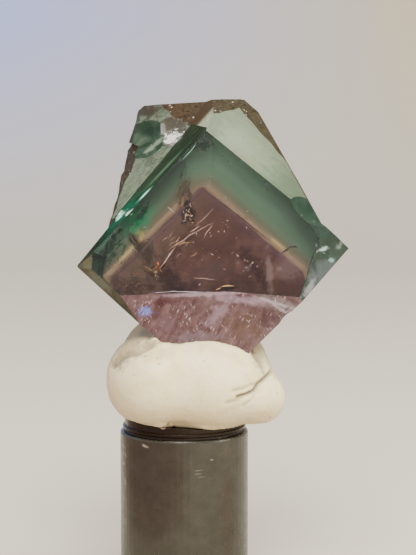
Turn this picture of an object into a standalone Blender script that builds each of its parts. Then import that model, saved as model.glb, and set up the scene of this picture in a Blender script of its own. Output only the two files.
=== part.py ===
"""A colour-zoned fluorite octahedron, stood on its corner in a lump of white putty on a round metal post.

Run it with blender --background --python part.py, or from Blender's text editor. Metres, +Z up, with the
origin at the middle of the post's foot. The crystal's clean square window faces -Y.

The crystal is one grown solid. Each flat face is a plane that cuts a block, given by the way it points and
by how far from the window's middle it meets the window. The broken places are rough slabs and round scoops,
taken off with Booleans.
"""

import math

import bmesh
import bpy
from mathutils import Matrix, Vector, noise

MM = 0.001
GAP = 0.3 * MM  # between touching pieces

# The post, a turned bar with a ringed neck whose end is cut a little askew.
POST_RADIUS = 8.0 * MM
POST_HEIGHT = 19.0 * MM  # to the shoulder
FOOT_CHAMFER = 0.4 * MM
SHOULDER = 0.3 * MM
NECK_RADIUS = 7.45 * MM
NECK_HEIGHT = 1.35 * MM  # at the axis
RING_RADIUS = 7.7 * MM
RING_HEIGHT = 0.45 * MM
RING_LIFT = 0.3 * MM  # above the shoulder
CUT_TILT = math.radians(3.4)  # the neck's end falls towards +X
POST_SIDES = 64

# The crystal. Its own axes are x to the right, y into the stone and z up, with the window at y = 0.
WINDOW_CENTRE = Vector((3.5, -6.5, 41.7)) * MM
LEAN_BACK = math.radians(4.7)
ROLL = math.radians(2.2)
BLOCK = 90 * MM  # larger than the crystal
OCTAHEDRAL = math.degrees(math.asin(1 / math.sqrt(3)))  # an octahedron's face against its fourfold axis

# Flat faces: the way one points across the window (right, up), the degrees it is turned forwards from edge
# on, and how far from the window's middle it meets the window's plane, in mm.
FLAT_FACES = {
    "window": ((0, 1), 90, 0),
    "upper_right": ((0.66, 0.75), OCTAHEDRAL, 10.8),
    "upper_right_back": ((0.66, 0.75), -OCTAHEDRAL, 25.8),
    "upper_left_back": ((-1, 1), -OCTAHEDRAL, 28.8),
    "lower_left_back": ((-0.70, -0.71), -OCTAHEDRAL, 13.9),
    "lower_right_back": ((0.705, -0.71), -OCTAHEDRAL, 13.2),
    "lower_left_rim": ((-0.70, -0.71), -12, 12.45),
    "lower_right_rim": ((0.705, -0.71), -12, 11.95),
    "lower_left_bevel": ((-0.70, -0.71), 50, 11.25),
    "top_back": ((0, 1), -1, 19.4),
    "left_tip": ((-0.99, 0.10), 65, 14.3),
    "right_tip_upper": ((0.85, 0.52), 74, 11.6),
    "right_tip_lower": ((0.93, -0.37), 72, 11.65),
}
# What lies outside both faces of a pair is cut away, which leaves a valley or a cleavage step between them.
STRIP = ((-1, 1), 15, 10.45)
LEFT_ROOF = ((-0.777, 0.63), -5, 12.2)
LEFT_NOTCH = ((-0.5, -0.87), 0, -7.6)
VALLEYS = {
    "upper left": (STRIP, ((-0.5, 0.866), 50, 4.45)),  # a steep strip, then a ledge
    "left back": (((-0.91, -0.41), -30, 13.5), LEFT_ROOF),
    "right": (((0.887, 0.463), 5, 12.95), ((0.69, 0.72), -5, 11.35)),
    "bottom": (((0.0, -1), 77, 4.75), ((-0.115, -0.993), 73, 4.55)),
    "upper right step": (((0.66, 0.75), -OCTAHEDRAL, 25.0), ((0.75, -0.66), -10, 1.0)),
    "lower left step": (((-0.70, -0.71), -OCTAHEDRAL, 13.2), ((-0.5, 0.87), -60, 16.0)),
    "lower right step": (((0.705, -0.71), -OCTAHEDRAL, 12.6), ((0.6, 0.8), -60, 19.0)),
}

# Broken ground: a point on it in the crystal's axes in mm, the way it faces, its roughness in mm, and the
# flat faces that it stays outside of.
ROUGH_BREAKS = {
    "top": ((2.0, 5.0, 17.3), (0.06, -0.345, 0.936), 0.35, ()),
    "top_right": ((5.5, 6.6, 15.8), (0.68, -0.36, 0.64), 0.15, ()),
    "top_left": ((-2.5, 8.8, 16.0), (-0.13, -0.66, 0.74), 0.35, (STRIP,)),
    "left": ((-10.7, 6.6, 8.1), (-0.86, -0.24, 0.45), 0.40, (LEFT_ROOF, LEFT_NOTCH)),
    "left_corner": ((-9.4, 12.0, 15.6), (-0.95, -0.10, 0.30), 0.30, (LEFT_ROOF,)),
    "back": ((0.4, 18.4, 2.7), (0.06, 0.98, -0.12), 0.80, ()),
}
ROUGH_SIZE = 36 * MM
ROUGH_CELLS = 42
ROUGH_GRAIN = 3.2 * MM

# Shell-shaped chips: the middle of the ball that scoops one out, and its radius, in mm and the crystal's
# axes.
CHIPS = {
    "upper_left_shell": ((-9.4, 6.9, 17.0), 5.3),
    "mirror_shell": ((-5.9, 7.0, 17.2), 4.0),
    "right_tip_chip": ((14.1, -2.6, 6.9), 5.3),
    "lower_right_chip": ((9.1, 0.6, -8.8), 1.3),
}
CHIP_SIDES = 56

# The putty, pressed from soft lumps: each one's middle and its half sizes along X, Y and Z, in mm.
LUMPS = {
    "left_front": ((-3.5, -3.0, 25.7), (6.3, 7.0, 6.1)),
    "middle_front": ((3.0, -3.2, 25.7), (7.3, 7.0, 6.1)),
    "right_front": ((6.4, -2.2, 25.6), (4.7, 6.4, 5.6)),
    "right_fold": ((8.9, -3.0, 23.5), (3.8, 5.0, 3.5)),
    "left_back": ((-3.2, 2.4, 27.6), (4.9, 5.4, 5.2)),
    "right_back": ((6.7, 3.0, 27.2), (3.8, 4.8, 3.9)),
    "middle_back": ((1.2, 4.2, 25.0), (7.4, 5.2, 5.2)),
}
LUMP_SIDES = 32
PUTTY_VOXEL = 1.0 * MM
PUTTY_SMOOTHING = 8


def clear_scene():
    for obj in list(bpy.data.objects):
        bpy.data.objects.remove(obj)


def collection(name):
    made = bpy.data.collections.new(name)
    bpy.context.scene.collection.children.link(made)
    return made


def material(name, colour, roughness, metallic=0.0, transmission=0.0):
    made = bpy.data.materials.new(name)
    made.use_nodes = True
    shader = made.node_tree.nodes["Principled BSDF"]
    shader.inputs["Base Color"].default_value = (*colour, 1)
    shader.inputs["Roughness"].default_value = roughness
    shader.inputs["Metallic"].default_value = metallic
    shader.inputs["Transmission Weight"].default_value = transmission
    return made


def add_object(name, bm, where, finish=None):
    mesh = bpy.data.meshes.new(name)
    bm.to_mesh(mesh)
    bm.free()
    obj = bpy.data.objects.new(name, mesh)
    where.objects.link(obj)
    if finish is not None:
        mesh.materials.append(finish)
    return obj


def hide_cutter(obj):
    obj.hide_render = True
    obj.display_type = "WIRE"
    return obj


def boolean(obj, other, operation):
    step = obj.modifiers.new(f"{operation.lower()} {other.name}", "BOOLEAN")
    step.operation = operation
    step.object = other
    return step


def plane_of(face):
    """A face's outward normal, and its distance from the window's middle."""
    (right, up), turned, reach = face
    slope = math.radians(turned)
    across = Vector((right, 0, up)).normalized()
    normal = across * math.cos(slope) + Vector((0, -1, 0)) * math.sin(slope)
    return normal, reach * MM * math.cos(slope)


def cut_block(faces, growth=0.0, keep_outside=False):
    """A block with every face's outer side cut off, or its inner side."""
    bm = bmesh.new()
    bmesh.ops.create_cube(bm, size=BLOCK)
    for face in faces:
        normal, distance = plane_of(face)
        bmesh.ops.bisect_plane(
            bm,
            geom=bm.verts[:] + bm.edges[:] + bm.faces[:],
            plane_co=normal * (distance + growth),
            plane_no=normal,
            clear_outer=not keep_outside,
            clear_inner=keep_outside,
        )
        bmesh.ops.holes_fill(bm, edges=[e for e in bm.edges if e.is_boundary])
    bmesh.ops.recalc_face_normals(bm, faces=bm.faces)
    return bm


def crystal_place():
    """From the crystal's own axes to the object's."""
    lean = Matrix.Rotation(-LEAN_BACK, 4, "X")
    roll = Matrix.Rotation(-ROLL, 4, "Y")
    return Matrix.Translation(WINDOW_CENTRE) @ lean @ roll


def faceted_body(name, growth, where, cutters, finish=None):
    """The crystal's flat-faced form before the breaks, moved outwards by growth."""
    body = add_object(name, cut_block(FLAT_FACES.values(), growth), where, finish)
    body.matrix_world = crystal_place()
    for place, faces in VALLEYS.items():
        wedge = cut_block(faces, growth, keep_outside=True)
        valley = hide_cutter(add_object(f"{name} {place} valley", wedge, cutters))
        valley.matrix_world = crystal_place()
        boolean(body, valley, "DIFFERENCE")
    return body


def rough_slab(name, point, facing, height, limits, where):
    """A thick slab whose near side is broken ground, to be taken off the crystal."""
    bm = bmesh.new()
    bmesh.ops.create_grid(
        bm, x_segments=ROUGH_CELLS, y_segments=ROUGH_CELLS, size=ROUGH_SIZE / 2
    )
    patch = Vector((len(name), 3.7 * facing[0], 1.3))
    for vert in bm.verts:
        wave = noise.fractal(vert.co / ROUGH_GRAIN + patch, 1.0, 2.0, 4)
        vert.co.z = wave * height * MM
    raised = bmesh.ops.extrude_face_region(bm, geom=bm.faces[:])
    for vert in raised["geom"]:
        if isinstance(vert, bmesh.types.BMVert):
            vert.co.z = ROUGH_SIZE / 2
    bmesh.ops.recalc_face_normals(bm, faces=bm.faces)
    slab = hide_cutter(add_object(name, bm, where))
    turn = Vector(facing).normalized().to_track_quat("Z", "Y").to_matrix().to_4x4()
    slab.matrix_world = crystal_place() @ Matrix.Translation(Vector(point) * MM) @ turn
    if limits:
        outside = add_object(f"{name} limit", cut_block(limits, keep_outside=True), where)
        outside.matrix_world = crystal_place()
        boolean(slab, hide_cutter(outside), "INTERSECT")
    return slab


def chip_ball(name, centre, radius, where):
    """A ball that leaves a shell-shaped break."""
    bm = bmesh.new()
    bmesh.ops.create_uvsphere(
        bm, u_segments=CHIP_SIDES, v_segments=CHIP_SIDES // 2, radius=radius * MM
    )
    ball = hide_cutter(add_object(name, bm, where))
    ball.matrix_world = crystal_place() @ Matrix.Translation(Vector(centre) * MM)
    return ball


def build_crystal(where, cutters):
    finish = material("fluorite", (0.45, 0.62, 0.52), 0.1, transmission=1.0)
    crystal = faceted_body("crystal", 0.0, where, cutters, finish)
    for name, (centre, radius) in CHIPS.items():
        boolean(crystal, chip_ball(name, centre, radius, cutters), "DIFFERENCE")
    for name, (point, facing, height, limits) in ROUGH_BREAKS.items():
        slab = rough_slab(f"{name} break", point, facing, height, limits, cutters)
        boolean(crystal, slab, "DIFFERENCE")
    return crystal


def askew_block(name, lift, where):
    """A block whose underside is the neck's cut end, raised by lift."""
    bm = bmesh.new()
    bmesh.ops.create_cube(bm, size=BLOCK)
    bmesh.ops.translate(bm, vec=(0, 0, BLOCK / 2), verts=bm.verts)
    block = hide_cutter(add_object(name, bm, where))
    height = POST_HEIGHT + NECK_HEIGHT + lift
    block.matrix_world = Matrix.Translation((0, 0, height)) @ Matrix.Rotation(CUT_TILT, 4, "Y")
    return block


def post_profile():
    """The post's half section, from the top of its axis down its outer side and back to the axis."""
    top = POST_HEIGHT + 2 * NECK_HEIGHT  # the askew cut takes off the rest
    ring_foot = POST_HEIGHT + RING_LIFT
    ring_round = RING_HEIGHT / 4
    corner = POST_RADIUS - SHOULDER
    shoulder_arc = [
        (corner + SHOULDER * math.sin(turn), POST_HEIGHT - SHOULDER * (1 - math.cos(turn)))
        for turn in map(math.radians, (0, 30, 60, 90))
    ]
    return [
        (0, top),
        (NECK_RADIUS, top),
        (NECK_RADIUS, ring_foot + RING_HEIGHT),
        (RING_RADIUS - ring_round, ring_foot + RING_HEIGHT),
        (RING_RADIUS, ring_foot + RING_HEIGHT - ring_round),
        (RING_RADIUS, ring_foot + ring_round),
        (RING_RADIUS - ring_round, ring_foot),
        (NECK_RADIUS, ring_foot),
        (NECK_RADIUS, POST_HEIGHT),
        *shoulder_arc,
        (POST_RADIUS, FOOT_CHAMFER),
        (POST_RADIUS - FOOT_CHAMFER, 0),
        (0, 0),
    ]


def build_post(where, cutters):
    finish = material("satin steel", (0.20, 0.18, 0.16), 0.38, metallic=1.0)
    bm = bmesh.new()
    verts = [bm.verts.new((radius, 0, height)) for radius, height in post_profile()]
    for upper, lower in zip(verts, verts[1:]):
        bm.edges.new((upper, lower))
    post = add_object("post", bm, where, finish)
    turning = post.modifiers.new("turning", "SCREW")
    turning.steps = POST_SIDES
    turning.render_steps = POST_SIDES
    turning.use_merge_vertices = True
    turning.merge_threshold = 0.01 * MM
    boolean(post, askew_block("neck end", 0.0, cutters), "DIFFERENCE")
    return post


def add_lump(bm, centre, half_sizes):
    made = bmesh.ops.create_uvsphere(
        bm, u_segments=LUMP_SIDES, v_segments=LUMP_SIDES // 2, radius=1.0
    )
    bmesh.ops.scale(bm, vec=Vector(half_sizes) * MM, verts=made["verts"])
    bmesh.ops.translate(bm, vec=Vector(centre) * MM, verts=made["verts"])


def build_putty(where, cutters):
    finish = material("putty", (0.72, 0.66, 0.53), 0.6)
    bm = bmesh.new()
    for centre, half_sizes in LUMPS.values():
        add_lump(bm, centre, half_sizes)
    putty = add_object("putty", bm, where, finish)
    merged = putty.modifiers.new("merged lumps", "REMESH")
    merged.mode = "VOXEL"
    merged.voxel_size = PUTTY_VOXEL
    merged.use_smooth_shade = True
    kneaded = putty.modifiers.new("kneaded", "SMOOTH")
    kneaded.factor = 0.5
    kneaded.iterations = PUTTY_SMOOTHING
    above_neck = askew_block("above the neck", GAP, cutters)
    boolean(putty, above_neck, "INTERSECT")
    socket = hide_cutter(faceted_body("socket", GAP, cutters, cutters))
    boolean(putty, socket, "DIFFERENCE")
    return putty


def main():
    clear_scene()
    parts = collection("fluorite on a post")
    cutters = collection("cutters")
    build_crystal(parts, cutters)
    build_putty(parts, cutters)
    build_post(parts, cutters)


main()
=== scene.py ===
"""The looks of the fluorite octahedron on its post: crystal, putty, metal, floor, light and camera.

Metres, +Z up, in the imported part's frame. The crystal's own axes are x to the right, y into the stone and
z up, with the middle of its square window at their origin, and its measures are in millimetres.
"""

import math
import random

import bmesh
import bpy
from mathutils import Matrix, Vector, noise
from mathutils.bvhtree import BVHTree


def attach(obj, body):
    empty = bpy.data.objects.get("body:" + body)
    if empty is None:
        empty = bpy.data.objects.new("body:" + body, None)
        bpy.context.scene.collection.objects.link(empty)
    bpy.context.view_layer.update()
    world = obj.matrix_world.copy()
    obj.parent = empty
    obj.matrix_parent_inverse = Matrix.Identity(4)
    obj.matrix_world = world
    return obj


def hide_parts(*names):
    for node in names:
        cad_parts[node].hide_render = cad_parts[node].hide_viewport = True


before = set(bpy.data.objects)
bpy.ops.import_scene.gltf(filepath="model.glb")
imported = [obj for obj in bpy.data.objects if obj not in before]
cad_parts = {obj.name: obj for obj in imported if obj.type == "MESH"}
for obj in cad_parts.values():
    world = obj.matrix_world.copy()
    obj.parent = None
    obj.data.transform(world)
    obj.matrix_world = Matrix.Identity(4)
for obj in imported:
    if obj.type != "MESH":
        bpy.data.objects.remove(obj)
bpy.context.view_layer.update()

MM = 0.001

# The camera: its place, its pitch below level, and its focal length for an image 416 by 555 pixels.
IMAGE_HEIGHT = 555
FOCAL_PIXELS = 1500
SENSOR = 36.0
CAMERA_PLACE = Vector((2.977, -185.339, 55.870)) * MM
CAMERA_PITCH = math.radians(5.5)

# The crystal's own axes in the frame.
WINDOW_CENTRE = Vector((3.5, -6.5, 41.7)) * MM
LEAN_BACK = math.radians(4.7)
ROLL = math.radians(2.2)


def crystal_place():
    """From the crystal's own axes, in metres, to the frame."""
    lean = Matrix.Rotation(-LEAN_BACK, 4, "X")
    roll = Matrix.Rotation(-ROLL, 4, "Y")
    return Matrix.Translation(WINDOW_CENTRE) @ lean @ roll


# -------- helpers for objects and meshes


def new_object(name, data):
    made = bpy.data.objects.new(name, data)
    bpy.context.scene.collection.objects.link(made)
    return made


def object_from(bm, name):
    mesh = bpy.data.meshes.new(name)
    bm.to_mesh(mesh)
    bm.free()
    return new_object(name, mesh)


def to_frame(bm):
    """Takes a shape in the crystal's axes, in mm, to its place in the frame."""
    bmesh.ops.scale(bm, vec=(MM, MM, MM), verts=bm.verts)
    bmesh.ops.transform(bm, matrix=crystal_place(), verts=bm.verts)


def tree_of(node):
    faces = [polygon.vertices[:] for polygon in node.data.polygons]
    return BVHTree.FromPolygons([vert.co for vert in node.data.vertices], faces)


# -------- helpers for materials


def new_material(name):
    made = bpy.data.materials.new(name)
    made.use_nodes = True
    return made, made.node_tree, made.node_tree.nodes["Principled BSDF"]


def set_inputs(node, inputs):
    """Links the inputs that are given sockets, and sets the values of the others."""
    for key, value in inputs.items():
        if isinstance(value, bpy.types.NodeSocket):
            node.id_data.links.new(value, node.inputs[key])
        else:
            node.inputs[key].default_value = value


def new_node(tree, kind, **settings):
    node = tree.nodes.new("ShaderNode" + kind)
    for key, value in settings.items():
        setattr(node, key, value)
    return node


def add_node(kind, inputs, **settings):
    """A node in the tree that the sockets among its inputs belong to."""
    tree = next(value.id_data for value in inputs.values() if isinstance(value, bpy.types.NodeSocket))
    node = new_node(tree, kind, **settings)
    set_inputs(node, inputs)
    return node


def maths(operation, *values):
    return add_node("Math", dict(enumerate(values)), operation=operation).outputs[0]


def times(first, second):
    return maths("MULTIPLY", first, second)


def stretched(point, scale):
    """A point with each of its three numbers multiplied by a number of its own."""
    inputs = {0: point, 1: scale}
    return add_node("VectorMath", inputs, operation="MULTIPLY").outputs["Vector"]


def length_of(point):
    return add_node("VectorMath", {0: point}, operation="LENGTH").outputs["Value"]


def along_axis(point, direction):
    inputs = {0: point, 1: direction}
    return add_node("VectorMath", inputs, operation="DOT_PRODUCT").outputs["Value"]


def axes_of(point):
    return add_node("SeparateXYZ", {"Vector": point}).outputs


def frame_point(tree):
    """The shaded point in the frame, in metres."""
    return new_node(tree, "TexCoord").outputs["Object"]


def frame_point_in_mm(tree):
    return stretched(frame_point(tree), (1 / MM, 1 / MM, 1 / MM))


def turned_point(point, turn, scale, middle=(0, 0, 0)):
    """A point in axes of their own, which are moved, turned and scaled."""
    inputs = {"Vector": point, "Location": middle, "Rotation": turn, "Scale": scale}
    return add_node("Mapping", inputs, vector_type="TEXTURE").outputs["Vector"]


def noise_at(point, scale, detail=3.0, roughness=0.5, distortion=0.0):
    inputs = {"Vector": point, "Scale": scale, "Detail": detail, "Roughness": roughness}
    return add_node("TexNoise", inputs | {"Distortion": distortion}).outputs["Fac"]


def scaled(value, low, high, to_low=0.0, to_high=1.0):
    inputs = {"Value": value, "From Min": low, "From Max": high, "To Min": to_low, "To Max": to_high}
    return add_node("MapRange", inputs).outputs["Result"]


def mottle(point, scale, low, high, strength=1.0, **settings):
    """A mask that is nothing where a noise is low and has its full strength where it is high."""
    return scaled(noise_at(point, scale, **settings), low, high, 0, strength)


def striations(point, along, scale, stretch, *span):
    """A mask of fine lines that run along a direction, where a noise runs from low to high."""
    turn = Vector(along).to_track_quat("X", "Z").to_euler()
    place = turned_point(point, turn, (stretch / scale, 1 / scale, 1 / scale))
    return mottle(place, 1.0, *span, detail=4, roughness=0.6)


def specks(point, scale, size):
    """Small round dots, one for each cell."""
    away = add_node("TexVoronoi", {"Vector": point, "Scale": scale}).outputs["Distance"]
    return scaled(away, size, size * 0.5)


def thinned_specks(point, scale, size, *thinning):
    """Small round dots, only where a noise of the given scale runs from low to high."""
    return times(specks(point, scale, size), mottle(point, *thinning))


def dabs(point, turn, size, low, high):
    """Small dabs longer than wide, turned anticlockwise by so many degrees, thinned out by a noise."""
    place = turned_point(point, (0, -math.radians(turn), 0), (1.5, 0.8, 0.30))
    return times(specks(place, 1.0, size), mottle(point, 0.45, low, high))


def linear(red, green, blue):
    """A screen colour, 0 to 255, as the linear colour that shaders take."""
    parts = [c / 255 for c in (red, green, blue)]
    parts = [c / 12.92 if c <= 0.04045 else ((c + 0.055) / 1.055) ** 2.4 for c in parts]
    return (*parts, 1.0)


def as_colour(value):
    """A screen colour of three numbers made linear. A linear colour and a socket stay as they are."""
    return linear(*value) if isinstance(value, tuple) and len(value) == 3 else value


def ramp(value, stops):
    """A colour ramp over stops of (position, colour), positions from 0 to 1."""
    node = add_node("ValToRGB", {"Fac": value})
    elements = node.color_ramp.elements
    while len(elements) < len(stops):
        elements.new(0.5)
    for element, (position, colour) in zip(elements, stops):
        element.position = position
        element.color = as_colour(colour)
    return node.outputs["Color"]


def blend(amount, first, second):
    """The first colour where the amount is 0, and the second where it is 1."""
    inputs = {0: amount, 6: as_colour(first), 7: as_colour(second)}
    return add_node("Mix", inputs, data_type="RGBA").outputs[2]


def layered(colour, layers):
    """A colour with others laid over it, each given with its mask."""
    for mask, tint in layers:
        colour = blend(mask, colour, tint)
    return colour


def patch_grain(point):
    return noise_at(point, 1.1, detail=4, roughness=0.65)


def patch_mask(point, grain, middle, half_sizes, turn, ragged):
    """One in the middle of an ellipse seen from the front, falling to nothing at its ragged edge."""
    scale = (half_sizes[0], 1e4, half_sizes[1])
    place = turned_point(point, (0, -math.radians(turn), 0), scale, (middle[0], 0, middle[1]))
    edge = scaled(grain, 0.3, 0.7, -ragged, ragged)
    away = maths("ADD", length_of(place), edge)
    inputs = {"Value": away, "From Min": 1.15, "From Max": 0.25}
    return add_node("MapRange", inputs, interpolation_type="SMOOTHSTEP").outputs["Result"]


def add_patches(point, colour, patches):
    grain = patch_grain(point)
    for *form, strength, tint in patches:
        mask = patch_mask(point, grain, *form)
        colour = blend(times(mask, strength), colour, tint)
    return colour


# -------- camera, light and floor

LIT_POINT = Vector((0, 0, 35)) * MM
# Each light's place and size in metres, its power in watts and its colour.
LIGHTS = {
    "key": ((0.03, -0.28, 0.40), (0.35, 0.35), 4.0, (1.0, 0.97, 0.91)),
    "side": ((0.38, -0.10, 0.20), (0.12, 0.3), 0.7, (0.95, 0.98, 1.0)),
}
BEND_STEPS = 16


def make_camera():
    data = bpy.data.cameras.new("camera")
    data.sensor_width = SENSOR
    data.lens = SENSOR * FOCAL_PIXELS / IMAGE_HEIGHT
    data.clip_start = 0.01
    camera = new_object("camera", data)
    camera.location = CAMERA_PLACE
    camera.rotation_euler = (math.pi / 2 - CAMERA_PITCH, 0, 0)
    bpy.context.scene.camera = camera


def make_lights():
    world = bpy.data.worlds.new("studio")
    world.use_nodes = True
    background = world.node_tree.nodes["Background"]
    background.inputs["Color"].default_value = (1.0, 0.97, 0.93, 1)
    background.inputs["Strength"].default_value = 1.2
    bpy.context.scene.world = world
    for name, (place, size, power, colour) in LIGHTS.items():
        data = bpy.data.lights.new(name, "AREA")
        data.shape = "RECTANGLE"
        data.size, data.size_y = size
        data.energy = power
        data.color = colour
        light = new_object(name, data)
        light.location = place
        light.rotation_euler = (LIT_POINT - Vector(place)).to_track_quat("-Z", "Y").to_euler()


def brown_ground(point, axes):
    """Where the floor is browner: in front and to the left, which the metal's left half mirrors."""
    right_side = scaled(axes["X"], 0.03, -0.005)
    behind = scaled(along_axis(point, (0.864, 0.504, 0)), -0.020, -0.035)
    near = scaled(length_of(point), 0.32, 0.18)
    return times(times(right_side, behind), near)


def floor_material():
    mat, tree, shader = new_material("pale_floor")
    point = frame_point(tree)
    axes = axes_of(point)
    high = blend(scaled(axes["X"], -0.13, 0.13), (184, 196, 250), (216, 204, 174))
    layers = [
        (scaled(axes["Z"], 0.0, 0.12), high),
        (brown_ground(point, axes), (168, 144, 130)),
    ]
    set_inputs(shader, {"Base Color": layered((216, 208, 190), layers), "Roughness": 0.9})
    return mat


def make_floor():
    """A plain pale sweep: a floor that curves up into a backdrop."""
    front, back, radius, top, half_width = -0.9, 0.45, 0.35, 1.2, 1.2
    turns = [math.pi / 2 * i / BEND_STEPS for i in range(1, BEND_STEPS + 1)]
    bend = [(back + radius * math.sin(a), radius * (1 - math.cos(a))) for a in turns]
    line = [(front, 0.0), (back, 0.0), *bend, (back + radius, top)]
    bm = bmesh.new()
    verts = [bm.verts.new((-half_width, y, z)) for y, z in line]
    edges = [bm.edges.new(pair) for pair in zip(verts, verts[1:])]
    swept = bmesh.ops.extrude_edge_only(bm, edges=edges)
    moved = [v for v in swept["geom"] if isinstance(v, bmesh.types.BMVert)]
    bmesh.ops.translate(bm, vec=(2 * half_width, 0, 0), verts=moved)
    bmesh.ops.recalc_face_normals(bm, faces=bm.faces)
    floor = object_from(bm, "floor")
    floor.data.shade_smooth()
    floor.data.materials.append(floor_material())


# -------- the crystal's planes

OCT = math.degrees(math.asin(1 / math.sqrt(3)))  # an octahedron's face against its fourfold axis
# The crystal's flat faces: the way one points across the window (right, up), the degrees it is turned
# forwards from edge on, and how far from the window's middle it meets the window's plane, in mm.
FACES = {
    "window": ((0, 1), 90, 0),
    "upper_right": ((0.66, 0.75), OCT, 10.8),
    "upper_right_back": ((0.66, 0.75), -OCT, 25.0),
    "upper_left_back": ((-1, 1), -OCT, 28.8),
    "lower_left_back": ((-0.7, -0.71), -OCT, 13.2),
    "lower_right_back": ((0.705, -0.71), -OCT, 12.6),
    "lower_left_rim": ((-0.7, -0.71), -12, 12.45),
    "lower_right_rim": ((0.705, -0.71), -12, 11.95),
    "lower_left_bevel": ((-0.7, -0.71), 50, 11.25),
    "top_back": ((0, 1), -1, 19.4),
    "left_tip": ((-0.99, 0.1), 65, 14.3),
    "right_tip_upper": ((0.85, 0.52), 74, 11.6),
    "right_tip_lower": ((0.93, -0.37), 72, 11.65),
    "strip": ((-1, 1), 15, 10.45),
    "ledge": ((-0.5, 0.866), 50, 4.45),
    "left_roof": ((-0.777, 0.63), -5, 12.2),
    "bottom_left": ((-0.115, -0.993), 73, 4.55),
    "bottom_right": ((0, -1), 77, 4.75),
}
# The middles of its broken ground, in mm, and the way each faces.
BREAKS = [
    ((2.0, 5.0, 17.3), (0.06, -0.345, 0.936)),
    ((5.5, 6.6, 15.8), (0.68, -0.36, 0.64)),
    ((-2.5, 8.8, 16.0), (-0.13, -0.66, 0.74)),
    ((-10.7, 6.6, 8.1), (-0.86, -0.24, 0.45)),
    ((-9.4, 12.0, 15.6), (-0.95, -0.1, 0.3)),
    ((0.4, 18.4, 2.7), (0.06, 0.98, -0.12)),
]
STRIP_TOP = 14.9  # mm up, above which the strip's face is pale

# The growth zones' skin, seen as a beige line on the window: its two sides, given as the faces are.
LEFT_SKIN = ((-0.679, 0.734), OCT, 7.05)
RIGHT_SKIN = ((0.679, 0.734), OCT, 5.74)


def plane_of(face):
    """A face's outward normal in the crystal's axes, and its distance from the window's middle in mm."""
    (right, up), turned, reach = face
    slope = math.radians(turned)
    across = Vector((right, 0, up)).normalized()
    normal = across * math.cos(slope) + Vector((0, -1, 0)) * math.sin(slope)
    return normal, reach * math.cos(slope)


def crystal_point(tree):
    """The shaded point in the crystal's axes, in mm."""
    back = crystal_place().inverted()
    inputs = {
        "Vector": frame_point(tree),
        "Location": back.translation / MM,
        "Rotation": back.to_euler(),
        "Scale": (1 / MM, 1 / MM, 1 / MM),
    }
    return add_node("Mapping", inputs).outputs["Vector"]


def beyond(point, plane):
    normal, reach = plane
    return maths("SUBTRACT", along_axis(point, normal), reach)


# -------- the growth zones inside it

# Soft patches inside the stone, seen through its window: the middle (x, z) and half sizes in mm, the turn
# anticlockwise in degrees, how ragged the edge is, the strength and the colour.
CORE_PATCHES = [
    ((-4.6, -1.2), (3.6, 3.2), 0, 0.7, 0.35, (92, 46, 46)),
    ((0.5, 3.4), (3.6, 2.2), 0, 0.8, 0.4, (112, 70, 62)),
    ((4.4, -1.0), (1.4, 2.2), 35, 0.5, 0.7, (58, 24, 30)),
    ((3.2, -3.4), (3.0, 1.2), 5, 0.5, 0.55, (66, 32, 38)),
    ((5.9, -3.4), (1.1, 2.4), 12, 0.5, 0.75, (52, 22, 26)),
    ((-0.6, -2.4), (2.9, 1.9), 15, 0.5, 0.45, (92, 66, 68)),
    ((-5.3, -2.9), (1.5, 2.4), 20, 0.5, 0.8, (44, 18, 22)),
    ((-4.0, 0.8), (0.9, 3.0), -40, 0.7, 0.55, (70, 34, 28)),
    ((-3.4, -3.9), (2.6, 0.6), 4, 0.8, 0.5, (60, 26, 32)),
    ((-10.0, -3.6), (3.2, 1.1), 0, 1.3, 0.65, (76, 42, 32)),
    ((-10.0, -1.4), (2.4, 1.4), 40, 0.7, 0.6, (98, 74, 62)),
    ((-7.9, 0.2), (1.4, 2.5), 14, 0.3, 0.9, (60, 44, 24)),
    ((-6.6, -2.3), (1.3, 1.7), 30, 0.8, 0.9, (66, 32, 18)),
    ((-6.6, -1.3), (0.35, 0.8), 0, 0.8, 0.5, (150, 84, 44)),
    ((-3.1, 7.2), (1.2, 2.3), -4, 0.3, 0.85, (110, 88, 60)),
    ((-2.8, 4.9), (0.9, 1.9), 10, 0.7, 0.98, (30, 16, 12)),
    ((-2.5, 7.1), (0.3, 1.8), 8, 0.5, 0.7, (56, 40, 28)),
    ((6.75, -2.9), (0.55, 2.9), 2, 0.6, 0.42, (190, 160, 158)),
    ((8.9, -2.3), (2.1, 1.9), 0, 0.4, 0.42, (160, 130, 130)),
    ((8.6, -4.4), (1.4, 0.8), -10, 0.8, 0.7, (96, 56, 54)),
    ((4.1, -2.1), (0.42, 0.42), 0, 0.2, 0.3, (170, 140, 140)),
    ((3.0, -1.4), (0.38, 0.38), 0, 0.2, 0.25, (170, 140, 140)),
    ((7.9, -2.3), (0.42, 0.42), 0, 0.2, 0.35, (190, 162, 158)),
    ((1.9, -4.35), (1.7, 0.36), 2, 0.5, 0.92, (42, 28, 22)),
    ((8.0, 0.6), (1.7, 0.3), -43, 0.3, 0.7, (250, 214, 140)),
    ((-9.8, 0.75), (0.34, 3.6), -46, 0.4, 0.7, (250, 222, 150)),
    # A painted highlight: the bright emerald glow.
    ((-9.2, 4.4), (3.0, 2.0), 45, 0.4, 0.95, (6, 200, 136)),
    ((-8.3, 5.0), (0.5, 1.7), -40, 0.7, 0.8, (14, 66, 42)),
    ((-12.4, 1.0), (2.6, 1.7), 47, 0.8, 0.9, (38, 86, 58)),
    ((-13.6, -1.2), (1.1, 1.6), 20, 0.5, 0.6, (104, 104, 72)),
    ((-0.6, 13.2), (1.9, 0.7), 0, 0.8, 0.55, (70, 80, 64)),
    ((-9.25, 1.6), (0.6, 1.9), 38, 0.3, 1.0, (84, 50, 18)),
    ((-8.7, 0.6), (0.45, 0.9), 38, 0.4, 0.9, (38, 22, 14)),
    ((-8.5, 2.5), (0.9, 0.5), -50, 0.5, 0.7, (228, 206, 124)),
]
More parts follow.
